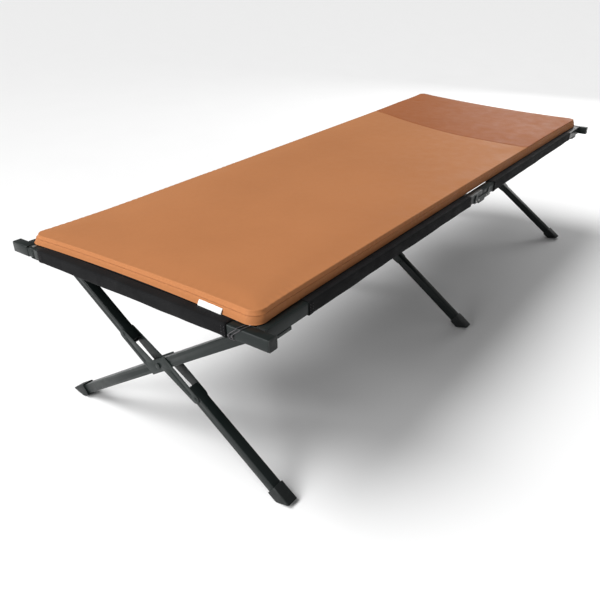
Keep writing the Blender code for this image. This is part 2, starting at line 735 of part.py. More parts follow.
def build_legs(finishes, right, left):
    paint, steel, plastic = finishes
    foot, head = (FOOT_REACH, FOOT_LIFT), (-HEAD_REACH, HEAD_Z)
    lower_start, lower_end = offset_points(-1)
    for word, place in STATIONS.items():
        x = station_x(place)
        axis = (x, 0, PIVOT_Z)
        lower_boot = boot(x, lower_end, lower_start, OFFSET_HEIGHT)
        right += [
            finished(straight_leg(x), word + "_straight_leg", paint, axis),
            finished(leg_bracket(x, -1), word + "_straight_leg_bracket", paint, axis),
            finished(boot(x, foot, head, STRAIGHT_HEIGHT), word + "_straight_leg_foot", plastic, axis),
        ]
        left += [
            finished(offset_leg(x, 1), word + "_offset_leg_upper", paint, axis),
            finished(offset_leg(x, -1), word + "_offset_leg_lower", paint, axis),
            finished(crossing_plate(x, -1), word + "_crossing_plate_riveted", paint, axis),
            finished(crossing_plate(x, 1), word + "_crossing_plate_backing", paint, axis),
            finished(pivot_bolt(x), word + "_pivot_bolt", steel, axis),
            finished(leg_bracket(x, 1), word + "_offset_leg_bracket", paint, axis),
            finished(lower_boot, word + "_offset_leg_foot", plastic, axis),
        ]


def build_rails(finishes, sides):
    paint, plastic, fabric = finishes
    for side, word in ((-1, "right"), (1, "left")):
        pieces = sides[word]
        for end, where in ((-1, "foot"), (1, "head")):
            name = f"{word}_rail_{where}"
            pieces.append(finished(rail_half(side, end), name + "_half", paint))
            pieces.append(finished(rail_plug(side, end), name + "_plug", plastic))
            pieces.append(finished(rail_sleeve(side, end), name + "_sleeve", fabric))
        pieces.append(finished(rail_hinge(side), word + "_rail_hinge", paint))


def build_end_bars(finishes):
    paint, steel, plastic, fabric = finishes
    for end, word in ((-1, "foot"), (1, "head")):
        bar = [
            finished(end_bar(end), word + "_end_bar", paint),
            finished(end_cap(end), word + "_end_bar_cap", plastic),
            finished(arm_pin(end), word + "_arm_pin", steel),
            finished(bar_sleeve(end), word + "_end_bar_sleeve", fabric),
        ]
        pin = (end * BAR_X, -end * (WIDTH / 2 - ARM_PIN_INSET), RAIL_Z)
        arm = finished(pivot_arm(end), word + "_pivot_arm", paint, pin)
        mount = group(word + "_end_bar_slide", (end * BAR_X, 0, RAIL_Z))
        if end < 0:
            bar.append(finished(tie_loop(), "pad_tie_loop", fabric))
        carry(mount, [*bar, arm])


def build():
    clear_scene()
    paint = material("frame_paint", (0.022, 0.030, 0.029), 0.38, 0.55)
    steel = material("zinc_hardware", (0.42, 0.42, 0.41), 0.35, 1.0)
    plastic = material("foot_plastic", (0.018, 0.020, 0.020), 0.55)
    fabric = material("deck_fabric", (0.010, 0.010, 0.011), 0.85)
    copper = material("pad_fabric", (0.46, 0.20, 0.085), 0.6)
    sides = {"right": [], "left": []}
    build_legs((paint, steel, plastic), sides["right"], sides["left"])
    build_rails((paint, plastic, fabric), sides)
    build_end_bars((paint, steel, plastic, fabric))
    sides["right"].append(finished(deck_panel(), "deck_panel", fabric))
    sides["right"].append(finished(pad(), "pad", copper))
    for word, pieces in sides.items():
        carry(group(word + "_frame", (0, 0, PIVOT_Z)), pieces)


build()
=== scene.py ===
"""Looks of the folding cot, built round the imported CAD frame.

Metres, +Z up, +X towards the head end.
"""

import json
import math

import bmesh
import bpy
import numpy as np
from mathutils import Matrix, Quaternion, Vector
from mathutils import noise as perlin
from mathutils.bvhtree import BVHTree

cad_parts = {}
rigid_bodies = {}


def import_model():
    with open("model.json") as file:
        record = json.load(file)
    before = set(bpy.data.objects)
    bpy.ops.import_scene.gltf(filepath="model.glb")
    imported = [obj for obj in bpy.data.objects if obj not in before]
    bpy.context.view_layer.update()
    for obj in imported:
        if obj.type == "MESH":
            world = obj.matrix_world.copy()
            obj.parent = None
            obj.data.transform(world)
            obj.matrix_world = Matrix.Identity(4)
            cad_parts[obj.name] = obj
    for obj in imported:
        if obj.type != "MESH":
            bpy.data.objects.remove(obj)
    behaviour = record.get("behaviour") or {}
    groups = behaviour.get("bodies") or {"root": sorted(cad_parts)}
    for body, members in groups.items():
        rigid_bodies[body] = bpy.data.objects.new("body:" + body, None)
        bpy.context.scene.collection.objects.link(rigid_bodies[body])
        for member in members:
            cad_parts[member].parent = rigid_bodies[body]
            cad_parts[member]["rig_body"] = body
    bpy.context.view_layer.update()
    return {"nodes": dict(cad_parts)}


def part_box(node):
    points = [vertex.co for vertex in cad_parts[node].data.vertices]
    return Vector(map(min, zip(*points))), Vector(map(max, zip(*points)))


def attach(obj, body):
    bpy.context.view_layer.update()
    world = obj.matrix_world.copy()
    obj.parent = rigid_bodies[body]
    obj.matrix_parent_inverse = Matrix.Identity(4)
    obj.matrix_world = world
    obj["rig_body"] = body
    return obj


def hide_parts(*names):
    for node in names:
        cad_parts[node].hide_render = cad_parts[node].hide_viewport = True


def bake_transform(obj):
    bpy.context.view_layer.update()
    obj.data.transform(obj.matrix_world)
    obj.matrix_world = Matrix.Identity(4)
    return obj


for startup in list(bpy.data.objects):
    bpy.data.objects.remove(startup)
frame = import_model()
PAD_LOW, PAD_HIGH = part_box("pad")
DECK_LOW, DECK_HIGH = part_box("deck_panel")

# Camera
CAMERA_PLACE = Vector((-1.8423, -1.0772, 1.1097))
CAMERA_YAW = 0.6209
CAMERA_PITCH = 0.4851
CAMERA_ROLL = 0.003
CAMERA_LENS = 38.0
CAMERA_SHIFT = -0.03

# Lights
KEY_POWER, RIM_POWER = 75, 38
SUN_STRENGTH = 2.9
SUN_SPREAD = math.radians(38)
WORLD_STRENGTH = 0.22

# Metal edges
EDGE_ROUND = 0.0005
EDGE_ANGLE = math.radians(38)

# Pad
PAD_START_INSET = 0.005  # the pad starts this much inside its place, and pressure fills it
PAD_CORNER = 0.036
PAD_STEP_X = 0.0105
PAD_STEP_Y = 0.0125
PAD_PRESSURE = 4.0
PAD_CAP = 0.007
PILLOW_X = 0.440  # the pillow's seam where it comes nearest to the foot end
PILLOW_BOW = 0.50
PILLOW_BEND = 1.30  # the same, on the right of that place
PILLOW_SHIFT = 0.22  # that place's distance from the middle, towards the right
SEAM_CORD = 0.0008
RIM_DROP = 0.0012  # how far the lower edge hangs below the underside
SEAM_RISE = 0.70  # the side groove's height, as a share of the pad's thickness
WELT_RISE = 0.62  # the welt's height, as a share of the height of the edge beside it
SIDE_INSET, SIDE_BOW, SIDE_LEAN = 0.002, 0.004, 0.007
END_INSET, END_BOW, FOOT_LEAN = 0.000, 0.013, 0.015
EDGE_MIDDLE, EDGE_LEAST = 0.031, 0.019  # the top edge's height over the underside
EDGE_CLIMB = 0.011  # its rise for each metre towards the head end
EDGE_TILT, EDGE_TWIST = 0.006, 0.011  # its rise towards the left, and the change of that
EDGE_DIP = 0.007  # how far it sinks across the middle of the pillow
PILLOW_CROWN = 0.002
PANEL_SLACK = 0.0022
SIDE_PITCH, END_PITCH = 0.021, 0.026  # from one pucker to the next
PUCKER_DEPTH, TOP_PUCKER_DEPTH = 0.0026, 0.0011
SEAM_GROOVE, PILLOW_GROOVE = 0.0010, 0.0007

# Cloth of the deck
CLOTH = 0.0010
DECK_SAG = 0.0055
HEM_X, HEM_Y = 0.0038, 0.0015  # the deck's edges reach this much nearer to the tubes
TAIL = 0.014  # hem of an end bar's sleeve, under the deck
FLAP = 0.007  # hem of a rail's sleeve, under the deck
STITCH_THREAD = 0.00045
STITCH_LONG = 0.0042
STITCH_PITCH = 0.0065

# Care label
LABEL_WIDTH = 0.068
LABEL_HEIGHT = 0.024
LABEL_RISE = 0.010  # its sewn edge over the pad's underside
LABEL_PLACE = -0.246  # its middle along the foot end of the pad

# Small hardware: radius and height of the heads
RIVET_HEAD = (0.0032, 0.0014)
SCREW_HEAD = (0.0046, 0.0018)


# Materials


class Finish:
    """A Principled material with short calls for its texture nodes."""

    def __init__(self, name, colour, roughness, metallic=0.0, **sockets):
        self.material = bpy.data.materials.new(name)
        self.material.use_nodes = True
        self.material.diffuse_color = (*colour, 1)
        self.tree = self.material.node_tree
        self.shader = self.tree.nodes["Principled BSDF"]
        self.shader.inputs["Base Color"].default_value = (*colour, 1)
        self.shader.inputs["Roughness"].default_value = roughness
        self.shader.inputs["Metallic"].default_value = metallic
        for socket, value in sockets.items():
            self.shader.inputs[socket.replace("_", " ")].default_value = value
        self.place = self.tree.nodes.new("ShaderNodeTexCoord").outputs["Object"]
        self.normal = None

    def stretched(self, scale):
        """Object coordinates times a scale along each axis."""
        node = self.tree.nodes.new("ShaderNodeMapping")
        node.inputs["Scale"].default_value = scale
        self.tree.links.new(self.place, node.inputs["Vector"])
        return node.outputs["Vector"]

    def noise(self, scale, detail=3.0, roughness=0.5, vector=None):
        node = self.tree.nodes.new("ShaderNodeTexNoise")
        node.inputs["Scale"].default_value = scale
        node.inputs["Detail"].default_value = detail
        node.inputs["Roughness"].default_value = roughness
        self.tree.links.new(vector or self.place, node.inputs["Vector"])
        return node.outputs["Fac"]

    def wave(self, scale, axis, distortion=0.0):
        node = self.tree.nodes.new("ShaderNodeTexWave")
        node.bands_direction = axis
        node.inputs["Scale"].default_value = scale
        node.inputs["Distortion"].default_value = distortion
        self.tree.links.new(self.place, node.inputs["Vector"])
        return node.outputs["Fac"]

    def ramp(self, value, stops):
        """stops: (position, value or colour) pairs."""
        node = self.tree.nodes.new("ShaderNodeValToRGB")
        elements = node.color_ramp.elements
        while len(elements) < len(stops):
            elements.new(0.5)
        for element, (position, stop) in zip(elements, stops):
            element.position = position
            element.color = (*stop, 1) if hasattr(stop, "__len__") else (stop, stop, stop, 1)
        self.tree.links.new(value, node.inputs["Fac"])
        return node.outputs["Color"]

    def mixed(self, a, b, factor=0.5, kind="MIX"):
        node = self.tree.nodes.new("ShaderNodeMix")
        node.data_type = "RGBA"
        node.blend_type = kind
        sockets = [s for s in node.inputs if s.type == "RGBA"]
        for socket, value in zip(sockets, (a, b)):
            self.feed(socket, value)
        self.feed(node.inputs["Factor"], factor)
        return [s for s in node.outputs if s.type == "RGBA"][0]

    def feed(self, socket, value):
        if isinstance(value, bpy.types.NodeSocket):
            self.tree.links.new(value, socket)
        elif hasattr(value, "__len__"):
            socket.default_value = (*value, 1)
        else:
            socket.default_value = value

    def colour(self, value):
        self.feed(self.shader.inputs["Base Color"], value)

    def roughness(self, value):
        self.feed(self.shader.inputs["Roughness"], value)

    def uneven_roughness(self, scale, detail, low, high):
        self.roughness(self.ramp(self.noise(scale, detail), [(0.3, low), (0.7, high)]))

    def bump(self, height, strength, distance):
        node = self.tree.nodes.new("ShaderNodeBump")
        node.inputs["Strength"].default_value = strength
        node.inputs["Distance"].default_value = distance
        self.tree.links.new(height, node.inputs["Height"])
        if self.normal is not None:
            self.tree.links.new(self.normal, node.inputs["Normal"])
        self.normal = node.outputs["Normal"]
        self.tree.links.new(self.normal, self.shader.inputs["Normal"])


def paint(name, base, lighter, roughness):
    """Powder coat: orange-peel bump, cloudy gloss and faint dust."""
    gloss = {"Coat_Weight": 0.04, "Coat_Roughness": 0.25, "Specular_IOR_Level": 0.22}
    finish = Finish(name, base, roughness, 0.0, **gloss)
    cloud = finish.noise(14, 4)
    finish.colour(finish.mixed(base, lighter, finish.ramp(cloud, [(0.35, 0.0), (0.75, 0.6)])))
    finish.uneven_roughness(45, 5, roughness - 0.07, roughness + 0.09)
    finish.bump(finish.noise(520, 2), 0.10, 0.0004)
    return finish.material


def worn_highlight_paint(name, base, bare):
    """Paint on an edge, lighter than the faces as a painted highlight, and rubbed to the metal in
    places.
    """
    finish = Finish(name, base, 0.34, 0.0, Specular_IOR_Level=0.5)
    chips = finish.ramp(finish.noise(160, 5, 0.65), [(0.70, 0.0), (0.78, 0.6)])
    finish.colour(finish.mixed(base, bare, chips))
    finish.uneven_roughness(70, 4, 0.26, 0.42)
    finish.bump(chips, 0.25, 0.0002)
    return finish.material


def zinc(name):
    finish = Finish(name, (0.46, 0.46, 0.45), 0.33, 1.0)
    patches = finish.noise(120, 6, 0.6)
    dull = finish.ramp(patches, [(0.4, 0.0), (0.7, 1.0)])
    finish.colour(finish.mixed((0.50, 0.50, 0.48), (0.33, 0.32, 0.29), dull))
    finish.uneven_roughness(60, 4, 0.26, 0.46)
    finish.bump(finish.noise(900, 2), 0.08, 0.0002)
    return finish.material


def plastic(name, base):
    """Moulded plastic: fine spark-eroded grain and a few scuffs."""
    finish = Finish(name, base, 0.52, 0.0, Specular_IOR_Level=0.3)
    marks = finish.noise(40, 6, 0.7, finish.stretched((1, 1, 5)))
    scuffs = finish.ramp(marks, [(0.60, 0.0), (0.70, 0.35)])
    finish.colour(finish.mixed(base, tuple(4 * c + 0.01 for c in base), scuffs))
    finish.uneven_roughness(70, 4, 0.44, 0.62)
    finish.bump(finish.noise(1400, 2), 0.22, 0.0003)
    return finish.material


def black_cloth(name, base, lighter, yarn):
    """Plain weave of coated polyester, with slack lines and some lint."""
    gloss = {"Sheen_Weight": 0.02, "Sheen_Roughness": 0.4, "Specular_IOR_Level": 0.12}
    finish = Finish(name, base, 0.80, 0.0, **gloss)
    cloud = finish.ramp(finish.noise(9, 5), [(0.35, 0.0), (0.7, 1.0)])
    finish.colour(finish.mixed(base, lighter, cloud))
    finish.uneven_roughness(30, 4, 0.72, 0.88)
    across = finish.wave(yarn, "X", 0.4)
    along = finish.wave(yarn, "Y", 0.4)
    finish.bump(finish.mixed(across, along, 0.5, "DIFFERENCE"), 0.22, 0.0004)
    finish.bump(finish.noise(38, 4, 0.55, finish.stretched((1.0, 1.0, 2.4))), 0.22, 0.0018)
    return finish.material


def pad_cloth(name, base, darker, lighter):
    """Brushed polyester with a soft sheen, faint broad marks and a very fine weave."""
    finish = Finish(name, base, 0.62, 0.0, Specular_IOR_Level=0.12)
    finish.shader.inputs["Sheen Weight"].default_value = 0.16
    finish.shader.inputs["Sheen Roughness"].default_value = 0.45
    finish.shader.inputs["Sheen Tint"].default_value = (1.0, 0.58, 0.32, 1)
    broad = finish.ramp(finish.noise(2.6, 5, 0.55), [(0.30, 0.0), (0.72, 1.0)])
    shade = finish.mixed(darker, lighter, broad)
    fibre = finish.ramp(finish.noise(210, 3, 0.6), [(0.3, 0.3), (0.7, 0.65)])
    finish.colour(finish.mixed(shade, base, fibre))
    finish.uneven_roughness(24, 5, 0.52, 0.68)
    weave = finish.mixed(finish.wave(420, "X", 0.6), finish.wave(420, "Y", 0.6), 0.5, "DIFFERENCE")
    finish.bump(weave, 0.10, 0.0003)
    finish.bump(finish.noise(11, 5, 0.6), 0.20, 0.0030)
    return finish.material


def label_cloth(name):
    finish = Finish(name, (0.86, 0.86, 0.84), 0.6, 0.0, Sheen_Weight=0.15)
    worn = finish.ramp(finish.noise(60, 4), [(0.4, 0.0), (0.8, 1.0)])
    finish.colour(finish.mixed((0.88, 0.88, 0.86), (0.74, 0.74, 0.72), worn))
    weave = finish.mixed(finish.wave(900, "Y", 0.3), finish.wave(900, "Z", 0.3), 0.5)
    finish.bump(weave, 0.25, 0.0002)
    return finish.material


def elastic_cord(name):
    finish = Finish(name, (0.020, 0.016, 0.020), 0.62, 0.0, Sheen_Weight=0.3)
    braid = finish.wave(700, "DIAGONAL", 0.8)
    finish.colour(finish.mixed((0.012, 0.010, 0.012), (0.055, 0.045, 0.055), braid))
    finish.bump(braid, 0.5, 0.0003)
    return finish.material


def floor_paint(name):
    finish = Finish(name, (0.92, 0.92, 0.92), 0.75)
    finish.uneven_roughness(3, 3, 0.70, 0.80)
    return finish.material


FRAME_PAINT = paint("frame_paint", (0.0075, 0.0110, 0.0105), (0.0120, 0.0165, 0.0155), 0.38)
BRACKET_PAINT = paint("bracket_paint", (0.0120, 0.0165, 0.0155), (0.0190, 0.0250, 0.0235), 0.42)
# Lighter paint on the rounded edges: a painted highlight, with chips of real wear down to bare metal.
EDGE_HIGHLIGHT_PAINT = worn_highlight_paint("edge_highlight_paint", (0.022, 0.029, 0.027), (0.16, 0.16, 0.15))
ZINC = zinc("zinc_hardware")
PLASTIC = plastic("foot_plastic", (0.0085, 0.0105, 0.0105))
# Lighter plastic on the rounded edges: a painted highlight.
PLASTIC_EDGE_HIGHLIGHT = plastic("foot_plastic_edge_highlight", (0.018, 0.022, 0.021))
DECK_CLOTH = black_cloth("deck_fabric", (0.0042, 0.0042, 0.0048), (0.0080, 0.0080, 0.0086), 620)
THREAD = elastic_cord("thread")
PAD_CLOTH = pad_cloth("pad_fabric", (0.418, 0.163, 0.060), (0.388, 0.148, 0.053), (0.450, 0.180, 0.069))
PILLOW_CLOTH = pad_cloth(
    "pad_pillow", (0.305, 0.090, 0.026), (0.280, 0.080, 0.022), (0.332, 0.103, 0.031)
)
PAD_THREAD = pad_cloth("pad_seam", (0.340, 0.130, 0.048), (0.31, 0.118, 0.042), (0.37, 0.145, 0.055))
LABEL = label_cloth("care_label")
ELASTIC = elastic_cord("elastic")


# Meshes


def linked(name, mesh, *materials):
    piece = bpy.data.objects.new(name, mesh)
    bpy.context.scene.collection.objects.link(piece)
    mesh.name = name
    for material in materials:
        mesh.materials.append(material)
    return piece


def from_bmesh(name, bm, *materials):
    mesh = bpy.data.meshes.new(name)
    bm.to_mesh(mesh)
    bm.free()
    mesh.shade_smooth()
    return linked(name, mesh, *materials)


def baked(piece):
    """The piece with its modifiers applied."""
    bpy.context.view_layer.update()
    graph = bpy.context.evaluated_depsgraph_get()
    mesh = bpy.data.meshes.new_from_object(piece.evaluated_get(graph))
    piece.modifiers.clear()
    piece.data = mesh
    return piece


def swept(name, rings, material, closed=False, capped=False):
    """A skin over rings of points; closed joins each ring's last point to its first."""
    bm = bmesh.new()
    made = [[bm.verts.new(point) for point in ring] for ring in rings]
    count = len(made[0])
    last = count if closed else count - 1
    for low, high in zip(made, made[1:]):
        for i in range(last):
            j = (i + 1) % count
            bm.faces.new((low[i], low[j], high[j], high[i]))
    if capped:
        bm.faces.new(reversed(made[0]))
        bm.faces.new(made[-1])
    bmesh.ops.recalc_face_normals(bm, faces=bm.faces)
    return from_bmesh(name, bm, material)


def tube(name, points, radius, material, closed=False, sides=8):
    """A round cord along the points."""
    path = [Vector(p) for p in points]
    count = len(path)
    rings = []
    side = None
    for i, point in enumerate(path):
        before = path[(i - 1) % count] if closed or i else point
        after = path[(i + 1) % count] if closed or i < count - 1 else point
        along = (after - before).normalized()
        if side is None:
            side = along.orthogonal().normalized()
        side = (side - along * side.dot(along)).normalized()
        other = along.cross(side)
        turns = [2 * math.pi * k / sides for k in range(sides)]
        rings.append([point + (side * math.cos(t) + other * math.sin(t)) * radius for t in turns])
    if closed:
        rings.append(rings[0])
    piece = swept(name, rings, material, closed=True, capped=not closed)
    if closed:
        bm = bmesh.new()
        bm.from_mesh(piece.data)
        bmesh.ops.remove_doubles(bm, verts=bm.verts, dist=1e-6)
        bm.to_mesh(piece.data)
        bm.free()
    return piece


def wobble(point, scale, amount):
    """A repeatable unevenness from -amount to amount."""
    return amount * perlin.noise(Vector(point) * scale)


def refined(node, face, edge, width=EDGE_ROUND):
    """A copy of a CAD node that stands for it. Its rounded edges carry their own finish, mostly a
    lighter one that paints a highlight along them.
    """
    source = frame["nodes"][node]
    bm = bmesh.new()
    bm.from_mesh(source.data)
    bmesh.ops.remove_doubles(bm, verts=bm.verts, dist=2e-5)
    bmesh.ops.dissolve_limit(bm, angle_limit=math.radians(1), verts=bm.verts, edges=bm.edges)
    for item in bm.faces:
        item.material_index = 0
        item.smooth = True
    sharp = [e for e in bm.edges if len(e.link_faces) == 2 and e.calc_face_angle(0) > EDGE_ANGLE]
    bmesh.ops.bevel(
        bm, geom=sharp, affect="EDGES", offset=width, segments=2, profile=0.5,
        material=1, clamp_overlap=True,
    )
    bmesh.ops.triangulate(bm, faces=[f for f in bm.faces if len(f.verts) > 4])
    piece = from_bmesh(node + "_shape", bm, face, edge)
    piece.data.set_sharp_from_angle(angle=math.radians(32))
    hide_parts(node)
    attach(piece, source["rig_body"])
    return piece


def build_hard_pieces():
    """Every metal and plastic CAD node, with rounded edges, most of them in a lighter finish as a
    painted highlight.
    """
    for node in sorted(frame["nodes"]):
        if node in ("pad", "deck_panel", "pad_tie_loop") or node.endswith("_sleeve"):
            continue
        if node.endswith(("_foot", "_cap", "_plug")):
            refined(node, PLASTIC, PLASTIC_EDGE_HIGHLIGHT, 0.0008)
        elif node.endswith("_bolt"):
            refined(node, BRACKET_PAINT, EDGE_HIGHLIGHT_PAINT, 0.0003)
        elif node.endswith("_arm_pin"):
            refined(node, ZINC, ZINC, 0.0003)
        elif node.endswith(("_riveted", "_backing", "_bracket", "_hinge")):
            refined(node, BRACKET_PAINT, EDGE_HIGHLIGHT_PAINT, 0.00035)
        elif node.endswith("_end_bar"):
            refined(node, FRAME_PAINT, EDGE_HIGHLIGHT_PAINT, 0.0009)
        else:
            refined(node, FRAME_PAINT, EDGE_HIGHLIGHT_PAINT)


# Deck cloth


def solid_cloth(piece, thickness=CLOTH, offset=0.0):
    skin = piece.modifiers.new("Thickness", "SOLIDIFY")
    skin.thickness = thickness
    skin.offset = offset
    return baked(piece)


def stitches(name, points, normal, material=THREAD):
    """A row of thread stitches along a line of points, lying on the cloth."""
    bm = bmesh.new()
    path = [Vector(p) for p in points]
    lift = Vector(normal).normalized() * STITCH_THREAD * 0.6
    travelled = 0.0
    due = 0.0
    for low, high in zip(path, path[1:]):
        length = (high - low).length
        along = (high - low) / length
        while due < travelled + length - STITCH_LONG:
            centre = low + along * (due - travelled + STITCH_LONG / 2) + lift
            turn = along.to_track_quat("X", "Z").to_matrix().to_4x4()
            size = Matrix.Diagonal((STITCH_LONG / 2, STITCH_THREAD, STITCH_THREAD, 1))
            place = Matrix.Translation(centre) @ turn @ size
            bmesh.ops.create_icosphere(bm, subdivisions=1, radius=1, matrix=place)
            due += STITCH_PITCH
        travelled += length
    return from_bmesh(name, bm, material)


def deck_sag(x, y):
    """How far the deck hangs below its taut plane, between the leg pairs and unevenly."""
    bay = abs(math.sin(math.pi * x / DECK_HIGH.x))
    bowl = DECK_SAG * bay * (1 - (y / DECK_HIGH.y) ** 2)
    return bowl + abs(wobble((x, y * 0.6, 0.3), 5.0, 0.0015))


def deck_cloth():
    spare = Vector((HEM_X, HEM_Y, 0))
    low, high = DECK_LOW - spare, DECK_HIGH + spare
    columns, rows = 150, 56
    middle = high.z - CLOTH / 2
    rings = []
    for i in range(columns + 1):
        x = low.x + (high.x - low.x) * i / columns
        ring = []
        for j in range(rows + 1):
            y = low.y + (high.y - low.y) * j / rows
            edge = min(1.0, (high.x - abs(x)) / 0.05) * min(1.0, (high.y - abs(y)) / 0.04)
            ring.append((x, y, middle - deck_sag(x, y) * max(edge, 0)))
        rings.append(ring)
    cloth = solid_cloth(swept("deck_cloth", rings, DECK_CLOTH))
    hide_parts("deck_panel")
    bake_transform(cloth)
    return cloth


def loop_outline(half_a, half_b, corner, steps=4):
    """A rounded rectangle from its inner bottom corner, round the outside, to its inner top."""
    points = []
    for k, (a, b) in enumerate(((-1, -1), (1, -1), (1, 1), (-1, 1))):
        start = math.pi + k * math.pi / 2
        for s in range(steps + 1):
            t = start + math.pi / 2 * s / steps
            out = a * (half_a - corner) + corner * math.cos(t)
            points.append((out, b * (half_b - corner) + corner * math.sin(t)))
    return points


def sleeve_section(half_a, half_b, tail, drop):
    """(outwards, up) points from the hem's tip, down and round the tube, to over its top."""
    ring = loop_outline(half_a, half_b, 0.0036)
    hem = [(-half_a - tail + tail * s / 6, half_b - drop) for s in range(6)]
    inner = [(-half_a - 0.0005, half_b - drop - 0.002), (-half_a, 0.0)]
    return hem + inner + ring


def fabric_sleeve(name, node, along, outward, tail, drop, hem, body):
    """The sewn sleeve round a tube.

    along and outward are the indices of its axes, and hem is the width of its end hems.
    """
    low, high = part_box(node)
    centre = (low + high) / 2
    side = math.copysign(1, centre[outward])
    half_a = (high[outward] - low[outward]) / 2 - CLOTH / 2
    half_b = (high.z - low.z) / 2 - CLOTH / 2
    section = sleeve_section(half_a, half_b, tail, drop)
    span = high[along] - low[along]
    count = max(12, int(span / 0.009))
    rings = []
    for i in range(count + 1):
        here = low[along] + span * i / count
        from_end = min(here - low[along], high[along] - here)
        doubled = 0.0007 if from_end < hem else 0.0
        ring = []
        for a, b in section:
            point = [0.0, 0.0, 0.0]
            loose = 0.0
            if b < half_b - 0.004:
                loose = wobble((here * 1.3, a * 30, b * 30 + side * 7), 9.0, 0.0011) + 0.0004
            out = a + (math.copysign(loose + doubled, a) if abs(a) > half_a - 0.004 else 0.0)
            up = b - (loose + doubled if b < -half_b + 0.004 else 0.0)
            point[along] = here
            point[outward] = centre[outward] + side * out
            point[2] = centre.z + up
            ring.append(point)
        rings.append(ring)
    sleeve = solid_cloth(swept(name, rings, DECK_CLOTH))
    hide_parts(node)
    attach(sleeve, body)
    return sleeve


def hem_stitches(name, node, along, outward, body):
    """Two rows of stitches across the sleeve's outer face at each of its ends."""
    low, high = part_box(node)
    side = math.copysign(1, (low[outward] + high[outward]) / 2)
    face = high[outward] if side > 0 else low[outward]
    made = []
    for end, start in (("a", low[along]), ("b", high[along])):
        inward = 1 if end == "a" else -1
        for row in (0.004, 0.012):
            points = []
            for z in np.linspace(low.z + 0.003, high.z - 0.003, 6):
                point = [0.0, 0.0, z]
                point[along] = start + inward * row
                point[outward] = face + side * 0.0007
                points.append(point)
            normal = [0.0, 0.0, 0.0]
            normal[outward] = side
            made.append(stitches(f"{name}_{end}_{int(row * 1000)}", points, normal))
    whole = merged(name, made)
    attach(whole, body)
    return whole


def merged(name, pieces):
    """One piece from several, which are removed."""
    bm = bmesh.new()
    materials = []
    for piece in pieces:
        first = len(bm.faces)
        bm.from_mesh(piece.data)
        bm.faces.ensure_lookup_table()
        for material in piece.data.materials:
            if material not in materials:
                materials.append(material)
        index = {i: materials.index(m) for i, m in enumerate(piece.data.materials)}
        for face in bm.faces[first:]:
            face.material_index = index.get(face.material_index, 0)
        bpy.data.objects.remove(piece)
    return from_bmesh(name, bm, *materials)


def build_deck():
    deck = deck_cloth()
    for side, body in (("right", "right_frame"), ("left", "left_frame")):
        for end in ("foot", "head"):
            node = f"{side}_rail_{end}_sleeve"
            cloth = f"{side}_{end}_rail_cloth"
            fabric_sleeve(cloth, node, 0, 1, FLAP, 2 * CLOTH + 0.0008, 0.016, body)
            hem_stitches(f"{side}_{end}_rail_stitches", node, 0, 1, body)
    for end in ("foot", "head"):
        node = f"{end}_end_bar_sleeve"
        body = f"{end}_end_bar"
        fabric_sleeve(f"{end}_bar_cloth", node, 1, 0, TAIL, 2 * CLOTH + 0.0012, 0.014, body)
        hem_stitches(f"{end}_bar_stitches", node, 1, 0, body)


# Pad


def pillow_curve(y):
    """x of the pillow's seam at y: bowed towards the foot end in the middle."""
    away = y + PILLOW_SHIFT
    return PILLOW_X + np.where(away > 0, PILLOW_BOW, PILLOW_BEND) * away**2


def rounded_place(x, y, half_x, half_y, corner):
    """Moves a point of a rectangle's corner square onto a quarter disc."""
    over_x = (abs(x) - (half_x - corner)) / corner
    over_y = (abs(y) - (half_y - corner)) / corner
    if over_x <= 0 or over_y <= 0:
        return x, y
    a = over_x * math.sqrt(1 - over_y * over_y / 2)
    b = over_y * math.sqrt(1 - over_x * over_x / 2)
    return (
        math.copysign(half_x - corner + corner * a, x),
        math.copysign(half_y - corner + corner * b, y),
    )


def grid_lines(half, step, corner):
    """Places of the grid's lines, closer together towards the edge."""
    steps = int(round(2 * (half - corner) / step))
    inside = list(np.linspace(-(half - corner), half - corner, steps + 1))
    edge = [half - corner + corner * s for s in (0.16, 0.32, 0.48, 0.64, 0.80, 0.92, 1.0)]
    return [-e for e in reversed(edge)] + inside + edge


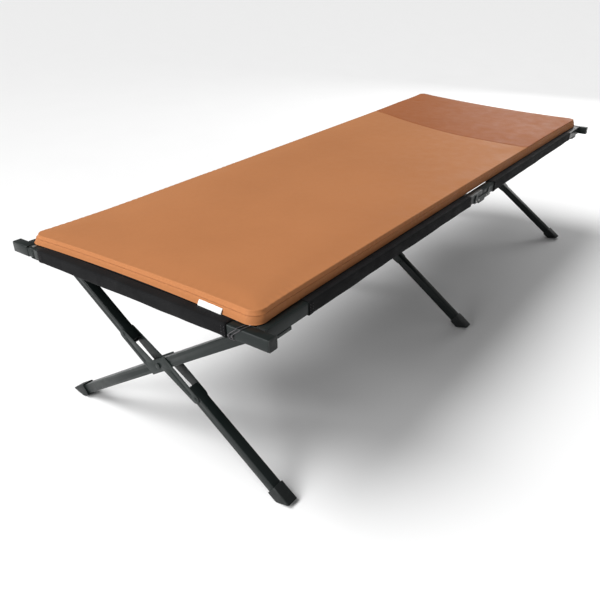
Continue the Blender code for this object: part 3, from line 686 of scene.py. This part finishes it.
def pad_shell():
    """The closed starting mesh of the pad, a little smaller than its place."""
    low, high = PAD_LOW, PAD_HIGH
    half_x, half_y = high.x - PAD_START_INSET, high.y - PAD_START_INSET
    xs = grid_lines(half_x, PAD_STEP_X, PAD_CORNER)
    ys = grid_lines(half_y, PAD_STEP_Y, PAD_CORNER)
    bottom, top = low.z + 0.001, high.z - 0.006
    levels = [0.12, 0.30, 0.50, 0.70, 0.88]
    bm = bmesh.new()
    grids = []
    for z in (bottom, top):
        grid = []
        for x in xs:
            column = []
            for y in ys:
                px, py = rounded_place(x, y, half_x, half_y, PAD_CORNER)
                column.append(bm.verts.new((px, py, z)))
            grid.append(column)
        grids.append(grid)
    for grid, flip in ((grids[0], True), (grids[1], False)):
        for i in range(len(xs) - 1):
            for j in range(len(ys) - 1):
                quad = (grid[i][j], grid[i + 1][j], grid[i + 1][j + 1], grid[i][j + 1])
                face = bm.faces.new(tuple(reversed(quad)) if flip else quad)
                face.material_index = 0 if flip else 1
    last_x, last_y = len(xs) - 1, len(ys) - 1
    loop = [(i, 0) for i in range(last_x)] + [(last_x, j) for j in range(last_y)]
    loop += [(i, last_y) for i in range(last_x, 0, -1)] + [(0, j) for j in range(last_y, 0, -1)]
    rings = [[grids[0][i][j] for i, j in loop]]
    for share in levels:
        ring = []
        for i, j in loop:
            foot = grids[0][i][j].co
            ring.append(bm.verts.new((foot.x, foot.y, bottom + (top - bottom) * share)))
        rings.append(ring)
    rings.append([grids[1][i][j] for i, j in loop])
    count = len(loop)
    for lower, upper in zip(rings, rings[1:]):
        for k in range(count):
            m = (k + 1) % count
            face = bm.faces.new((lower[k], lower[m], upper[m], upper[k]))
            face.material_index = 1 if upper is rings[-1] else 0
    bmesh.ops.recalc_face_normals(bm, faces=bm.faces)
    return from_bmesh("pad_cover", bm, PAD_CLOTH, PILLOW_CLOTH)


def coordinates(mesh):
    points = np.empty(len(mesh.vertices) * 3)
    mesh.vertices.foreach_get("co", points)
    return points.reshape(-1, 3)


def set_coordinates(mesh, points):
    mesh.vertices.foreach_set("co", points.astype(np.float32).ravel())
    mesh.update()


def inflate(pad):
    """Cloth simulation with pressure; each point's move is capped."""
    start = coordinates(pad.data)
    cloth = pad.modifiers.new("Cloth", "CLOTH")
    settings = cloth.settings
    settings.quality = 6
    settings.mass = 0.25
    settings.tension_stiffness = 12
    settings.compression_stiffness = 12
    settings.shear_stiffness = 4
    settings.bending_stiffness = 0.6
    settings.use_pressure = True
    settings.uniform_pressure_force = PAD_PRESSURE
    settings.effector_weights.gravity = 0
    settings.shrink_min = -0.03
    cloth.point_cache.frame_start = 1
    cloth.point_cache.frame_end = 20
    scene = bpy.context.scene
    for step in range(1, 21):
        scene.frame_set(step)
    baked(pad)
    scene.frame_set(1)
    moved = coordinates(pad.data)
    shift = moved - start
    length = np.linalg.norm(shift, axis=1)
    scale = np.minimum(1.0, PAD_CAP / np.maximum(length, 1e-9))
    set_coordinates(pad.data, start + shift * scale[:, None])


def smooth_step(value, low, high):
    t = np.clip((value - low) / (high - low), 0, 1)
    return t * t * (3 - 2 * t)


def edge_distance(x, y, half_x, half_y, corner):
    """Distance inwards from the outline of a rounded rectangle."""
    dx = np.abs(x) - (half_x - corner)
    dy = np.abs(y) - (half_y - corner)
    outside = np.hypot(np.maximum(dx, 0), np.maximum(dy, 0))
    return corner - outside - np.minimum(np.maximum(dx, dy), 0)


def pucker(along, across, seed, pitch):
    """Uneven folds along a seam: sharp valleys between soft ridges, from 0 to 1."""
    value = np.zeros(len(along))
    for i, (s, a) in enumerate(zip(along, across)):
        drift = 1.6 * perlin.noise(Vector((s * 5.0, seed, a * 6.0)))
        wave = math.sin(2 * math.pi * s / pitch + 2.2 * drift)
        strength = 0.5 + 0.9 * perlin.noise(Vector((s * 9.0, seed + 4.0, 0.0)))
        value[i] = max(strength, 0.0) * (0.5 + 0.5 * wave) ** 2
    return value


def pad_height(x, y):
    """Height of the pad's top edge over its underside."""
    across = y / PAD_HIGH.y
    height = EDGE_MIDDLE + EDGE_CLIMB * x + across * (EDGE_TILT + EDGE_TWIST * x)
    height -= EDGE_DIP * (1 - across**2) * smooth_step(x, 0.5, 1.0)
    return np.maximum(height, EDGE_LEAST)


def shape_pad(pad):
    """Everything the simulation leaves out: crown, lean of the edges, pillow, seams and puckers."""
    low, high = PAD_LOW, PAD_HIGH
    half_x, half_y = high.x, high.y
    points = coordinates(pad.data)
    x, y, z = points.T.copy()
    rise = np.clip((z - low.z) / (high.z - low.z), 0, 1.2)
    inside = edge_distance(x, y, half_x, half_y, PAD_CORNER)

    # The seams pull in between the corners, and the walls lean inwards over their height.
    pulled_y = np.where(y < 0, SIDE_INSET, 0) + SIDE_BOW * (1 - (x / half_x) ** 2)
    pulled_x = END_INSET + END_BOW * (1 - (y / half_y) ** 2)
    near_side = smooth_step(np.abs(y), half_y - 0.15, half_y)
    near_end = smooth_step(np.abs(x), half_x - 0.15, half_x)
    y -= np.sign(y) * (pulled_y + SIDE_LEAN * rise) * near_side
    x += np.where(x < 0, pulled_x + FOOT_LEAN * rise, -0.4 * pulled_x - SIDE_LEAN * rise) * near_end

    # The simulated cushion is brought to the height that its edge has at each place.
    edge = (inside > 0.010) & (inside < 0.030) & (rise > 0.6)
    level = z[edge].mean() - low.z
    z = low.z + (z - low.z) * pad_height(x, y) / level
    pillow = pillow_curve(y)
    z += rise * PILLOW_CROWN * smooth_step(x, pillow, pillow + 0.20)

    # The underside lies flat, up to a tight lower edge.
    flat = smooth_step(rise, 0.02, 0.30)
    z = low.z + (z - low.z) * flat

    # Slack in the panels.
    slack = np.array([perlin.noise(Vector((a * 3.0, b * 5.0, 1.7))) for a, b in zip(x, y)])
    z += rise * PANEL_SLACK * slack * smooth_step(inside, 0.01, 0.08)

    # Puckers along the side walls and a little way over the top edge.
    wall = np.exp(-((np.clip(inside, -0.01, 1) / 0.016) ** 2))
    on_long = np.abs(y) > half_y - 0.06
    on_end = np.abs(x) > half_x - 0.06
    folds_long = pucker(x, rise, 3.0, SIDE_PITCH)
    folds_end = pucker(y, rise, 11.0, END_PITCH)
    reach = smooth_step(rise, 0.05, 0.35) * (0.35 + 0.65 * smooth_step(1.15 - rise, 0.0, 0.5))
    deep = PUCKER_DEPTH * wall * reach
    y -= np.sign(y) * deep * folds_long * on_long
    x -= np.sign(x) * deep * 0.8 * folds_end * on_end
    top_fold = np.exp(-(((inside - 0.018) / 0.014) ** 2)) * smooth_step(rise, 0.7, 0.95)
    z -= TOP_PUCKER_DEPTH * top_fold * np.where(on_long, folds_long, folds_end)

    # The side seam, a shallow groove near the top edge.
    seam = np.exp(-(((rise - SEAM_RISE) / 0.09) ** 2)) * wall
    y -= np.sign(y) * SEAM_GROOVE * seam * on_long
    x -= np.sign(x) * SEAM_GROOVE * seam * on_end

    # The pillow's seam, a shallow groove across the top.
    groove = np.exp(-(((x - pillow) / 0.005) ** 2)) * smooth_step(rise, 0.6, 0.9)
    z -= PILLOW_GROOVE * groove

    z = np.maximum(z, low.z)
    z -= RIM_DROP * np.exp(-((np.clip(inside, 0, 1) / 0.02) ** 2)) * (rise < 0.3)
    set_coordinates(pad.data, np.stack([x, y, z], axis=1))


def follow_pillow(pad):
    """Slides one of the grid's lines onto the pillow's seam, which bounds the pillow's cloth."""
    points = coordinates(pad.data)
    high = PAD_HIGH
    columns = np.unique(np.round(points[np.abs(points[:, 1]) < 0.2, 0], 4))
    line = columns[np.argmin(np.abs(columns - PILLOW_X))]
    curve = pillow_curve(points[:, 1])
    away = np.abs(points[:, 0] - line)
    reach = np.clip(1 - away / (high.x - abs(line)), 0, 1)
    weight = reach * reach * (3 - 2 * reach)
    points[:, 0] += weight * (curve - line)
    set_coordinates(pad.data, points)
    for face in pad.data.polygons:
        if face.center.x < pillow_curve(face.center.y):
            face.material_index = 0


def build_pad():
    pad = pad_shell()
    inflate(pad)
    follow_pillow(pad)
    finer = pad.modifiers.new("Finer", "SUBSURF")
    finer.levels = finer.render_levels = 1
    baked(pad)
    shape_pad(pad)
    pad.data.shade_smooth()
    return pad


def surface_line(pad, points, direction):
    """Each point moved onto the pad's surface along a direction."""
    tree = bvh_of(pad)
    found = []
    for point in points:
        hit = tree.ray_cast(Vector(point), Vector(direction(point)))[0]
        if hit is not None:
            found.append(hit)
    return found


def bvh_of(piece):
    return BVHTree.FromObject(piece, bpy.context.evaluated_depsgraph_get())


def outline_points(half_x, half_y, corner, z, step=0.008):
    """Points round a rounded rectangle at height z."""
    points = []
    corners = ((1, -1, -math.pi / 2), (1, 1, 0), (-1, 1, math.pi / 2), (-1, -1, math.pi))
    for sx, sy, start in corners:
        centre = (sx * (half_x - corner), sy * (half_y - corner))
        for s in range(9):
            t = start + math.pi / 2 * s / 8
            points.append((centre[0] + corner * math.cos(t), centre[1] + corner * math.sin(t), z))
    dense = []
    for p, q in zip(points, points[1:] + points[:1]):
        pieces_here = max(1, int(math.dist(p, q) / step))
        for s in range(pieces_here):
            dense.append(tuple(a + (b - a) * s / pieces_here for a, b in zip(p, q)))
    return dense


def pad_seams(pad):
    """The welt round the pad's side, and the twin stitching beside the pillow's seam."""
    low, high = PAD_LOW, PAD_HIGH
    far = []
    for x, y, z in outline_points(high.x + 0.05, high.y + 0.05, PAD_CORNER + 0.05, low.z):
        beside = pad_height(max(-high.x, min(high.x, x)), max(-high.y, min(high.y, y)))
        far.append((x, y, z + WELT_RISE * float(beside)))

    def inwards(point):
        cx = max(-(high.x - PAD_CORNER), min(high.x - PAD_CORNER, point[0]))
        cy = max(-(high.y - PAD_CORNER), min(high.y - PAD_CORNER, point[1]))
        return Vector((cx - point[0], cy - point[1], 0)).normalized()

    around = surface_line(pad, far, inwards)
    welt = tube("pad_side_seam", around, SEAM_CORD, PAD_THREAD, closed=True, sides=6)
    rows = []
    for shift in (-0.0035, 0.0035):
        line = []
        for y in np.linspace(-(high.y - 0.012), high.y - 0.012, 120):
            line.append((pillow_curve(y) + shift, y, high.z + 0.1))
        found = surface_line(pad, line, lambda point: (0, 0, -1))
        rows.append(stitches(f"row_{shift}", found, (0, 0, 1), PILLOW_CLOTH))
    twin = merged("pad_pillow_seam", rows)
    for piece in (welt, twin):
        cross_fold(piece)


def cross_fold(piece):
    """Bakes a piece's transform into its mesh."""
    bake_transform(piece)


def finish_pad(pad):
    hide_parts("pad")
    pad_seams(pad)
    cross_fold(pad)


# Label and tie loop


def build_label(pad):
    """A blank woven label at the foot end, hanging from the pad's side over the end bar."""
    low, high = PAD_LOW, PAD_HIGH
    top = low.z + LABEL_RISE
    columns, rows = 14, 12
    tree = bvh_of(pad)
    rings = []
    for i in range(columns + 1):
        y = LABEL_PLACE + LABEL_WIDTH * (i / columns - 0.5)
        ring = []
        out = high.x
        for j in range(rows + 1):
            t = j / rows
            z = top - LABEL_HEIGHT * t * 0.96
            outside = Vector((low.x - 0.1, y, max(z, low.z + 0.002)))
            out = min(out, tree.ray_cast(outside, Vector((1, 0, 0)))[0].x)
            curl = 0.0032 * math.sin(math.pi * t * 0.75)
            ripple = abs(wobble((y * 3, t, 0.4), 8.0, 0.0016)) * t
            ring.append((out - (0.0007 + curl + ripple), y, z))
        rings.append(ring)
    label = solid_cloth(swept("care_label_blank", rings, LABEL), 0.0004, 1.0)
    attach(label, "right_frame")
    return label


def build_tie_loop():
    """Elastic in two strands round the foot end bar under the pad, each knotted in front."""
    bar_low, bar_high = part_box("foot_end_bar")
    loop_low, loop_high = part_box("pad_tie_loop")
    radius = 0.0009
    y = (loop_low.y + loop_high.y) / 2 - 0.009
    gap = radius + 0.0005
    pieces = []
    for shift in (-0.0045, 0.0045):
        start = y + shift
        front = bar_low.x - gap
        back = bar_high.x + gap
        top = bar_high.z + gap * 0.9
        under = bar_low.z - gap
        ring = [
            (back, start, top - 0.004),
            (back - 0.003, start, top),
            (front + 0.003, start + 0.006, top),
            (front, start + 0.009, top - 0.003),
            (front - 0.0008, start + 0.028, bar_low.z + 0.010),
            (front, start + 0.027, under + 0.003),
            (front + 0.003, start + 0.024, under),
            (back - 0.003, start + 0.006, under),
            (back, start + 0.002, under + 0.003),
        ]
        path = smooth_loop(ring)
        pieces.append(tube(f"strand_{shift}", path, radius, ELASTIC, closed=True, sides=8))
        knot = Vector((front - 0.0016, start + 0.028, bar_low.z + 0.008))
        pieces.append(knot_ball(f"knot_{shift}", knot, 0.0034))
    loop = merged("pad_tie_elastic", pieces)
    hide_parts("pad_tie_loop")
    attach(loop, "foot_end_bar")


def smooth_loop(points, steps=6):
    """Catmull-Rom through a closed loop of points."""
    path = [Vector(p) for p in points]
    count = len(path)
    found = []
    for i in range(count):
        a, b, c, d = (path[(i + k - 1) % count] for k in range(4))
        for s in range(steps):
            t = s / steps
            bend = 2 * a - 5 * b + 4 * c - d
            twist = 3 * b - a - 3 * c + d
            found.append(0.5 * (2 * b + (c - a) * t + bend * t * t + twist * t**3))
    return found


def knot_ball(name, centre, size):
    """A small overhand knot: three turns of cord about one point."""
    turns = []
    for k in range(36):
        t = 2 * math.pi * k / 36
        reach = size * 0.42 * (2 + math.cos(3 * t)) / 2
        across, up = reach * math.cos(2 * t), reach * math.sin(2 * t)
        turns.append(centre + Vector((size * 0.3 * math.sin(3 * t), across, up)))
    return tube(name, turns, 0.0009, ELASTIC, closed=True, sides=6)


# Small hardware


def dome(name, centre, radius, height, normal, material):
    """A domed rivet head."""
    bm = bmesh.new()
    rings = []
    for s in range(5):
        t = math.pi / 2 * s / 4
        rings.append((radius * math.cos(t), height * math.sin(t)))
    rings.insert(0, (radius, -0.0006))
    sides = 20
    layers = []
    for r, h in rings[:-1]:
        angles = [2 * math.pi * k / sides for k in range(sides)]
        layers.append([bm.verts.new((r * math.cos(t), r * math.sin(t), h)) for t in angles])
    tip = bm.verts.new((0, 0, height))
    for low, high in zip(layers, layers[1:]):
        for k in range(sides):
            m = (k + 1) % sides
            bm.faces.new((low[k], low[m], high[m], high[k]))
    for k in range(sides):
        bm.faces.new((layers[-1][k], layers[-1][(k + 1) % sides], tip))
    bm.faces.new(reversed(layers[0]))
    turn = Vector(normal).to_track_quat("Z", "Y").to_matrix().to_4x4()
    bmesh.ops.transform(bm, matrix=Matrix.Translation(centre) @ turn, verts=bm.verts)
    bmesh.ops.recalc_face_normals(bm, faces=bm.faces)
    return from_bmesh(name, bm, material)


def build_rivets():
    """Rivet heads that the plain solids leave out: on the rail hinges, and on the arms' ends."""
    for side, sign, body in (("right", -1, "right_frame"), ("left", 1, "left_frame")):
        low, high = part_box(side + "_rail_hinge")
        outer = high.y if sign > 0 else low.y
        heads = []
        for end in (-1, 1):
            for shift in (0.010, 0.030):
                place = (end * (high.x - shift), outer, low.z + 0.006)
                name = f"head_{end}_{shift}"
                heads.append(dome(name, place, *RIVET_HEAD, (0, sign, 0), ZINC))
        rivets = merged(side + "_rail_hinge_rivets", heads)
        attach(rivets, body)
    for end in ("foot", "head"):
        low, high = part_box(end + "_pivot_arm")
        sign = math.copysign(1, low.y + high.y)
        face = high.y if sign > 0 else low.y
        centre = ((low.x + high.x) / 2, face, (low.z + high.z) / 2 + 0.002)
        screw = dome(end + "_arm_screw", centre, *SCREW_HEAD, (0, sign, 0), ZINC)
        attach(screw, end + "_pivot_arm")


# Stage


def area_light(name, place, target, size, power, colour=(1, 1, 1)):
    data = bpy.data.lights.new(name, "AREA")
    data.shape = "RECTANGLE"
    data.size, data.size_y = size
    data.energy = power
    data.color = colour
    lamp = bpy.data.objects.new(name, data)
    lamp.location = place
    lamp.rotation_mode = "QUATERNION"
    lamp.rotation_quaternion = (Vector(target) - Vector(place)).to_track_quat("-Z", "Y")
    bpy.context.scene.collection.objects.link(lamp)


def build_stage():
    bm = bmesh.new()
    bmesh.ops.create_grid(bm, x_segments=1, y_segments=1, size=30)
    floor = from_bmesh("floor", bm, floor_paint("floor_pale"))
    floor.location.z = -0.0006
    world = bpy.data.worlds.new("studio")
    world.use_nodes = True
    background = world.node_tree.nodes["Background"]
    background.inputs["Color"].default_value = (1.0, 1.0, 1.0, 1)
    background.inputs["Strength"].default_value = WORLD_STRENGTH
    bpy.context.scene.world = world
    bpy.context.scene.view_settings.view_transform = "Standard"
    area_light("key", (-4.0, 0.6, 1.7), (-0.9, 0, 0.4), (1.8, 1.4), KEY_POWER)
    area_light("rim", (4.2, 0.2, 1.7), (0.6, 0, 0.5), (2.2, 1.2), RIM_POWER)
    sun = bpy.data.lights.new("soft_sun", "SUN")
    sun.energy = SUN_STRENGTH
    sun.angle = SUN_SPREAD
    lamp = bpy.data.objects.new("soft_sun", sun)
    lamp.rotation_mode = "QUATERNION"
    lamp.rotation_quaternion = Vector((0.42, -0.50, -0.90)).to_track_quat("-Z", "Y")
    bpy.context.scene.collection.objects.link(lamp)


def build_camera():
    ahead = math.cos(CAMERA_PITCH) * math.cos(CAMERA_YAW)
    aside = math.cos(CAMERA_PITCH) * math.sin(CAMERA_YAW)
    forward = Vector((ahead, aside, -math.sin(CAMERA_PITCH)))
    data = bpy.data.cameras.new("camera")
    data.lens = CAMERA_LENS
    data.sensor_width = 36
    data.shift_x = CAMERA_SHIFT
    camera = bpy.data.objects.new("camera", data)
    camera.location = CAMERA_PLACE
    camera.rotation_mode = "QUATERNION"
    level = forward.to_track_quat("-Z", "Y")
    camera.rotation_quaternion = Quaternion(forward, CAMERA_ROLL) @ level
    bpy.context.scene.collection.objects.link(camera)
    bpy.context.scene.camera = camera


build_camera()
build_stage()
build_hard_pieces()
build_rivets()
build_deck()
build_tie_loop()
cover = build_pad()
build_label(cover)
finish_pad(cover)
